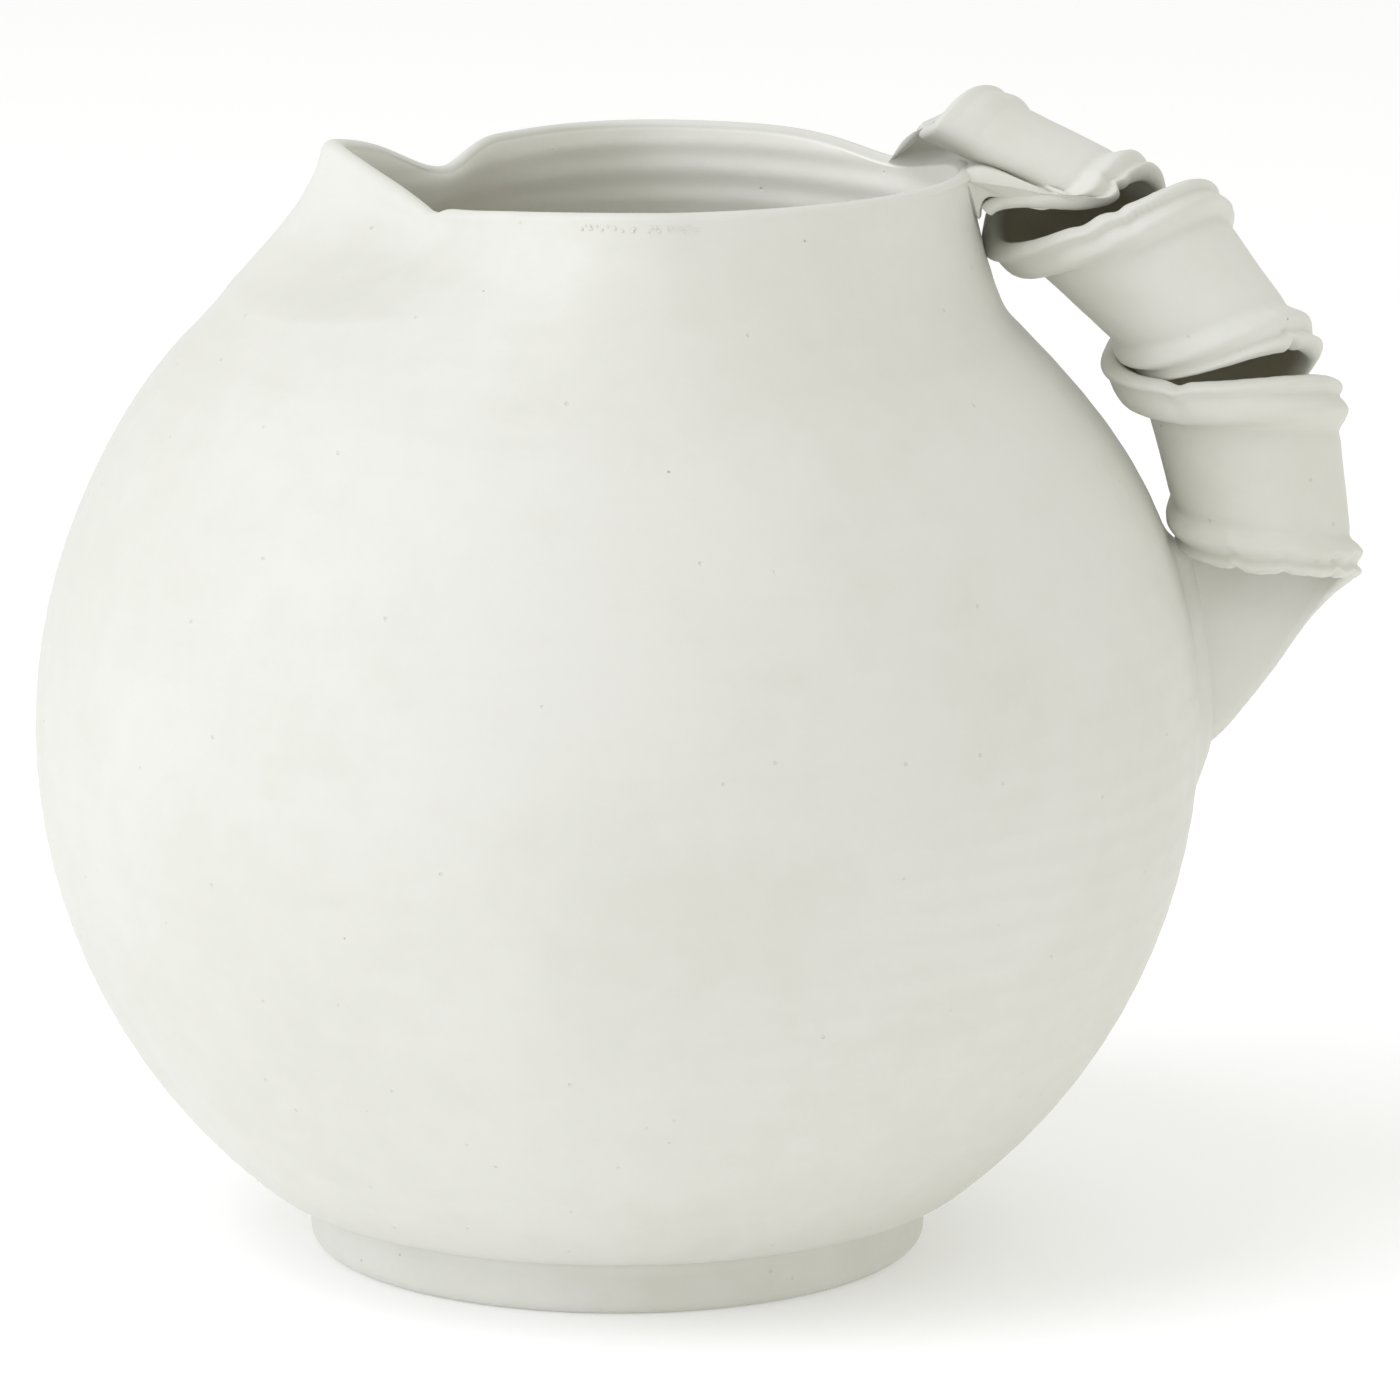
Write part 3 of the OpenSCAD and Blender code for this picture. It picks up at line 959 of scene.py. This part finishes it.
# Small pits on the lower ridge: (turn, half length in turns)
ridge_pits = [(2.08, 0.004), (2.115, 0.003), (1.12, 0.004)]
ridge_pit_at = 0.83
ridge_pit_width = 0.02
ridge_pit_depth = 0.5

# A row of nicks on the second turn's upper edge
nick_turn = 1.045
nick_turns = 0.045
nick_at = -0.87
nick_width = 0.035
nick_depth = 0.30
nick_rate = 520


def bands(rows, side):
    """Height of a list of bands at a place between the middle, 0, and an edge, 1."""
    return sum(height * bell(side, at, width) for at, width, height in rows)


def strap_relief(q, v):
    """Height of the ridges, grooves and small nicks above the strap's plain face."""
    ends = ease(root_turn, bands_full, q) * (1 - tail_flattening * ease(coil_end, tail_turn, q))
    upper_fade = np.where(v < 0, mix(upper_band_share, 1, ease(*upper_band_span, q)), 1)
    side = np.abs(v)
    ridge = bands(ridge_bands, side) * mix(1, ease(*upper_ridge_span, q), v < 0)
    faint = bands(faint_band, side) * (0.5 + 0.5 * np.sin(faint_rate * q))
    nicks = nick_depth * bell(q, nick_turn, nick_turns) * bell(v, nick_at, nick_width)
    nicks = nicks * np.sin(nick_rate * q)
    pits = -ridge_pit_depth * bell(v, ridge_pit_at, ridge_pit_width)
    pits = pits * sum(bell(q, turn, reach) for turn, reach in ridge_pits)
    return (ridge + bands(groove_bands, side) + faint) * ends * upper_fade + nicks + pits


# Places across the strap, from 0 in the middle to 1 at an edge, and counts of points
EDGE_ROUNDING = 0.945
EDGE_CROWDING = 0.93
STRAP_RINGS = 760
FACE_POINTS = 72
BACK_POINTS = 42
EDGE_FROM = 0.8
back_edge_thinning = 0.3
wear_from = 0.3

# The stretch of the strap's back that lies hidden inside the coil, given painted shade there
shaded_back_span = (0.30, 0.45, 1.80, 1.95)
shaded_back_margin = 0.2


def across_strap(count):
    """Places from edge to edge, denser towards both edges."""
    x = np.linspace(-1, 1, count)
    return np.sin(x * math.pi / 2 * EDGE_CROWDING) / math.sin(math.pi / 2 * EDGE_CROWDING)


def edge_round(v):
    """Share of the thickness that is left, which rounds both edges off."""
    u = np.clip((np.abs(v) - EDGE_ROUNDING) / (1 - EDGE_ROUNDING), 0, 1)
    return np.sqrt(np.maximum(0, 1 - u ** 2))


def worn(q, v):
    """Place across the strap after the edges' losses, so that v runs over what is left."""
    loss = np.where(v > 0, edge_loss(q, 1), edge_loss(q, -1)) / (strap_w / 2)
    return v * (1 - loss * ease(wear_from, 1, np.abs(v)))


def make_strap():
    """The strap's ridged face and plain back, ring by ring from the rim to the belly."""
    turns = np.linspace(root_turn, tail_turn - SLOPE_STEP, STRAP_RINGS)
    q, v = np.meshgrid(turns, across_strap(FACE_POINTS), indexing="ij")
    w = worn(q, v)
    face_height = (strap_t / 2 + strap_relief(q, v)) * edge_round(v)
    face = strap_middle(q, w) + strap_normal(q, w) * face_height[..., None]
    q, v = np.meshgrid(turns, -across_strap(BACK_POINTS)[1:-1], indexing="ij")
    w = worn(q, v)
    thinned = 1 - back_edge_thinning * ease(EDGE_FROM, 1, np.abs(v))
    back_height = strap_t / 2 * thinned * edge_round(v)
    back = strap_middle(q, w) - strap_normal(q, w) * back_height[..., None]
    rings = np.concatenate([face, back], 1)
    # Painted shade: the back inside the coil is marked to take the handle glaze's dark inner colour
    shaded_back = between(q, *shaded_back_span) * ease(0, shaded_back_margin, 1 - np.abs(v))
    inside = np.concatenate([np.zeros(face.shape[:2]), shaded_back], 1)
    rows, columns = rings.shape[:2]
    faces = grid_faces(rows, columns, wrap_columns=True)
    faces.append(list(range(columns))[::-1])
    faces.append([(rows - 1) * columns + j for j in range(columns)])
    return piece("coiled_strap", rings, faces, handle_glaze, {"inside": inside}, STRAP_SHARP)


# ------------------------------------------------------------- worked joints

# Clay round the strap's root: depths below the lip where it thins out and where it is full
thin_depth = 2.0
inner_depth = 4.0
outer_depth = 10
lip_cover = 1.2
thin_half = 0.4
skin = 0.15
face_sink = 0.25
root_edge = 0.97

# How far up the strap it reaches, in turns, on the ridged face and on the plain back
face_turn_back = 0.09
face_turn_front = -0.02
face_change_from = 0.2
plain_turn = -0.11
turn_step = 0.01

# How strongly its two lines keep their direction at their ends
thin_pull = 0.4
full_pull = 6.5
inner_low_pull = 1.8
inner_face_pull = 1.3
outer_low_pull = 1.4

SECTION_POINTS = 28


def root_section(v, over, spread):
    """A ring of the clay worked round the strap's root, over the rim's lip and down both sides.

    over is 1 on the strap and falls to 0 past its edges, where the clay thins out."""
    k = (v + 1) / 2
    angle = mix(root_back_angle, root_front_angle, k) + spread
    a = 180 + angle
    turn = math.radians(angle)
    outward = np.array([math.cos(turn), math.sin(turn), 0])
    up = np.array([0, 0, 1.0])
    lip_r, lip_z = rim_radius(a) - lip_t / 2, rim_height(a)
    lip = outward * lip_r + up * (lip_z - lip_cover)
    side = np.array(np.clip(v, -root_edge, root_edge))
    face_turn = np.array(mix(face_turn_back, face_turn_front, ease(face_change_from, 1, v)))
    back_turn = np.array(plain_turn)
    face_place = strap_middle(face_turn, side)
    back_place = strap_middle(back_turn, side)
    face_along = unit(strap_middle(face_turn + turn_step, side) - face_place)
    back_along = unit(strap_middle(back_turn + turn_step, side) - back_place)
    sunk = strap_t / 2 - face_sink
    on_face = face_place + strap_normal(face_turn, side) * sunk
    on_back = back_place - strap_normal(back_turn, side) * sunk
    inner_face = mix(lip - outward * thin_half, on_face, over)
    outer_face = mix(lip + outward * thin_half, on_back, over)
    inner_z = lip_z - mix(thin_depth, inner_depth, over)
    outer_z = lip_z - mix(thin_depth, outer_depth, over)
    inner_low = outward * (lip_r - lip_t / 2 + skin) + up * inner_z
    outer_low = outward * (collar_radius(outer_z) - skin) + up * outer_z
    pull = mix(thin_pull, full_pull, over)
    along = np.linspace(0, 1, SECTION_POINTS)
    inside = bezier([inner_low, inner_low + up * pull * inner_low_pull,
                     inner_face - face_along * pull * inner_face_pull, inner_face], along)
    outside = bezier([outer_face, outer_face - back_along * pull,
                      outer_low + up * pull * outer_low_pull, outer_low], along)
    return np.concatenate([inside, outside])


edge_steps = 14
strap_steps = 44
back_spread = 2.5
front_spread = 6


def make_upper_joint():
    """The clay at the root, rounded off past the strap's back edge and thinned past its front."""
    rings = []
    for i in range(edge_steps):
        u = i / edge_steps
        rings.append(root_section(-1, math.sin(math.pi / 2 * u), back_spread * (1 - u)))
    for i in range(strap_steps + 1):
        rings.append(root_section(-1 + 2 * i / strap_steps, 1, 0))
    for i in range(edge_steps - 1, -1, -1):
        u = i / edge_steps
        rings.append(root_section(1, u ** 2, -front_spread * (1 - u)))
    return closed_loft("upper_joint_clay", np.array(rings), handle_glaze)


# The bed of clay on the belly, in millimetres; its span is in shares of its length
bed_over = 5
bed_under = 16
bed_top = tail_z + strap_w / 2 + bed_over
bed_bottom = tail_z - strap_w / 2 - bed_under
bed_half_w = 6.5
bed_end_share = 0.55
bed_span = (0, 0.10, 0.68, 1)
bed_sunk_edge = 0.5
bed_extra_h = 1.0
bed_crown = 1.1
bed_lean = 0.8
bed_root = 0.8
bed_wave = 0.5
bed_wave_length = 9

BED_ROWS = 90
BED_COLUMNS = 25


def make_lower_joint():
    """A rounded ridge of clay up the belly, in which the strap's end stands."""
    rings = []
    w = np.linspace(-1, 1, BED_COLUMNS)
    crown = (0.5 + 0.5 * np.cos(math.pi * w)) ** bed_crown
    for u in np.linspace(0, 1, BED_ROWS):
        z = mix(bed_top, bed_bottom, u)
        fade = between(u, *bed_span)
        width = bed_half_w * mix(bed_end_share, 1, fade)
        height = -bed_sunk_edge + (bed_h + bed_extra_h) * fade * crown
        y = tail_y + w * width - bed_lean * fade + bed_wave * np.sin(z / bed_wave_length)
        over = vector(np.sqrt((globe_r + height) ** 2 - y ** 2 - (z - globe_z) ** 2), y, z)
        under = vector(np.sqrt((globe_r - bed_root) ** 2 - y ** 2 - (z - globe_z) ** 2), y, z)
        rings.append(np.concatenate([over, under[::-1]]))
    return closed_loft("lower_joint_clay", np.array(rings), handle_glaze)


def clay_tree():
    """Finger-worked unevenness: points pushed along their normals by soft noise."""
    labels = ("Dent depth", "Dent size", "Grain depth", "Grain size")
    tree, given = new_tree("worked_clay", labels)
    place = add(tree, "GeometryNodeInputPosition")
    normal = add(tree, "GeometryNodeInputNormal")
    dents = add(tree, "ShaderNodeTexNoise", values={
        "Vector": place, "Scale": 1 / given["Dent size"], "Detail": 1.0})
    grains = add(tree, "ShaderNodeTexNoise", values={
        "Vector": place, "Scale": 1 / given["Grain size"], "Detail": 2.0})
    push = (dents - 0.5) * given["Dent depth"] + (grains - 0.5) * given["Grain depth"]
    moved = add(tree, "GeometryNodeSetPosition", values={
        "Geometry": given["Geometry"], "Offset": scaled(normal, push)})
    close_tree(tree, moved, given["Material"])
    return tree


# Blisters under the front of the rim: shape, angles round the wall, then millimetres
blister_flatness = 0.3
blister_roundness = 3
blister_angles = (84, 103)
blister_drop = 2.2
blister_band = 1.3


def blister_tree():
    """Small glaze blisters scattered over a guide surface."""
    labels = ("Density", "Smallest", "Largest", "Seed")
    tree, given = new_tree("rim_blisters", labels)
    points = add(tree, "GeometryNodeDistributePointsOnFaces", values={
        "Mesh": given["Geometry"], "Density": given["Density"], "Seed": given["Seed"]})
    ball = add(tree, "GeometryNodeMeshIcoSphere", values={"Radius": 1.0, "Subdivisions": blister_roundness})
    size = add(tree, "FunctionNodeRandomValue", {"data_type": "FLOAT"}, {
        2: given["Smallest"], 3: given["Largest"], "Seed": given["Seed"]}, out=1)
    turned = Field(tree, points.socket.node.outputs["Rotation"])
    placed = add(tree, "GeometryNodeInstanceOnPoints", values={
        "Points": points, "Instance": ball, "Rotation": turned,
        "Scale": combine(tree, size, size, size * blister_flatness)})
    smooth = add(tree, "GeometryNodeSetShadeSmooth", values={"Geometry": placed})
    close_tree(tree, smooth, given["Material"])
    return tree


def blister_guide():
    """A narrow strip of the collar's outside, just under the front of the rim."""
    rows = []
    for a in np.linspace(*blister_angles, 40):
        top = rim_height(a) - blister_drop
        line = [(rim_radius(a), top), (rim_radius(a), top - blister_band)]
        rows.append(around(np.array(line), a))
    return piece("rim_blisters", np.array(rows), grid_faces(len(rows), 2), body_glaze)


# ------------------------------------------------------------ make and dress

throwing = throwing_tree()
clay = clay_tree()
thrown = {"ring_pitch": 6.6 * MM, "ring_scale": 1.0, "wobble": 0.5 * MM, "wobble_size": 130 * MM}

globe = grow(make_globe(), throwing, body_glaze, **thrown)
dress(globe, "body_glaze", "globe")

collar_angles = np.linspace(spout_half_angle, 360 - spout_half_angle, 301)
spout_angles = np.linspace(-spout_half_angle, spout_half_angle, 111)
for name, node, angles in (("neck_wall", "neck_collar", collar_angles),
                           ("spout_wall", "pouring_spout", spout_angles)):
    rings, marks = collar_rings(angles)
    wall = grow(closed_loft(name, rings, body_glaze, marks), throwing, body_glaze, **thrown)
    dress(wall, "body_glaze", node)

# The foot's tree makes all of its shape, so it only needs one face to start from
foot_start = piece("turned_foot", [(0, 0, 0), (1, 0, 0), (0, 1, 0)], [[0, 1, 2]], foot_glaze)
foot = grow(foot_start, foot_tree(), foot_glaze, outer_radius=foot_r * MM, width=foot_width * MM,
            height=foot_h * MM, edge_radius=foot_edge_r * MM, flare=(foot_top_r - foot_r) * MM,
            unevenness=0.25 * MM)
dress(foot, "foot_glaze", "foot_ring")

worked = {"sharp": STRAP_SHARP, "dent_depth": 0.5 * MM, "dent_size": 14 * MM,
          "grain_depth": 0.05 * MM, "grain_size": 3 * MM}
for make, node in ((make_strap, "handle_strap"), (make_upper_joint, "upper_handle_joint"),
                   (make_lower_joint, "lower_handle_joint")):
    dress(grow(make(), clay, handle_glaze, **worked), "handle_glaze", node)

blisters = grow(blister_guide(), blister_tree(), body_glaze, density=0.9e6, smallest=0.15 * MM,
                largest=0.32 * MM, seed=7)
dress(blisters, "body_glaze")


# --------------------------------------------------------- stage and camera

floor_half = 9.0
floor_finish = {"Base Color": (0.93, 0.93, 0.93, 1), "Roughness": 0.9, "Specular IOR Level": 0.1,
                "Emission Color": (1, 1, 1, 1), "Emission Strength": 0.18}


def stage_material():
    """A plain pale floor that glows a little, so that it fades into the room."""
    material = bpy.data.materials.new("pale_floor")
    material.use_nodes = True
    surface = material.node_tree.nodes["Principled BSDF"]
    for socket, value in floor_finish.items():
        surface.inputs[socket].default_value = value
    return material


def make_floor():
    """A wide flat floor at the level that the foot stands on."""
    corners = [(-floor_half, -floor_half, 0), (floor_half, -floor_half, 0),
               (floor_half, floor_half, 0), (-floor_half, floor_half, 0)]
    mesh = bpy.data.meshes.new("floor")
    mesh.from_pydata(corners, [], [(0, 1, 2, 3)])
    mesh.materials.append(stage_material())
    floor = bpy.data.objects.new("floor", mesh)
    bpy.context.scene.collection.objects.link(floor)


def soft_light(name, place, aim, width, power, colour):
    """A round soft lamp at a place in metres, turned to face the aim."""
    lamp = bpy.data.lights.new(name, "AREA")
    lamp.shape = "DISK"
    lamp.size = width
    lamp.energy = power
    lamp.color = colour
    light = bpy.data.objects.new(name, lamp)
    light.location = place
    light.rotation_euler = (Vector(aim) - Vector(place)).to_track_quat("-Z", "Y").to_euler()
    bpy.context.scene.collection.objects.link(light)


make_floor()
middle = (0, 0, 0.12)
soft_light("key", (-2.2, -1.0, 1.2), middle, 1.6, 19, (0.94, 0.96, 1.10))
soft_light("top", (-0.9, -0.8, 2.3), middle, 1.4, 13, (0.97, 0.98, 1.04))
soft_light("edge", (2.4, -0.1, 0.6), middle, 0.8, 3, (1.0, 1.0, 0.98))

world = bpy.data.worlds.new("white_room")
world.use_nodes = True
room = world.node_tree.nodes["Background"]
room.inputs["Color"].default_value = (1, 1, 0.975, 1)
room.inputs["Strength"].default_value = 0.77
bpy.context.scene.world = world
bpy.context.scene.view_settings.view_transform = "Standard"

# The camera, in metres
camera_distance = 1.75
camera_elevation = math.radians(12.2)
aim = Vector((0, 0, 0.1088))
camera_data = bpy.data.cameras.new("camera")
camera_data.sensor_width = 36
camera_data.lens = 218.25
camera_data.shift_x = 0.0589
camera_data.shift_y = 0.0157
camera_data.clip_end = 50
camera = bpy.data.objects.new("camera", camera_data)
to_camera = Vector((0, -math.cos(camera_elevation), math.sin(camera_elevation)))
camera.location = aim + to_camera * camera_distance
camera.rotation_euler = (-to_camera).to_track_quat("-Z", "Y").to_euler()
bpy.context.scene.collection.objects.link(camera)
bpy.context.scene.camera = camera
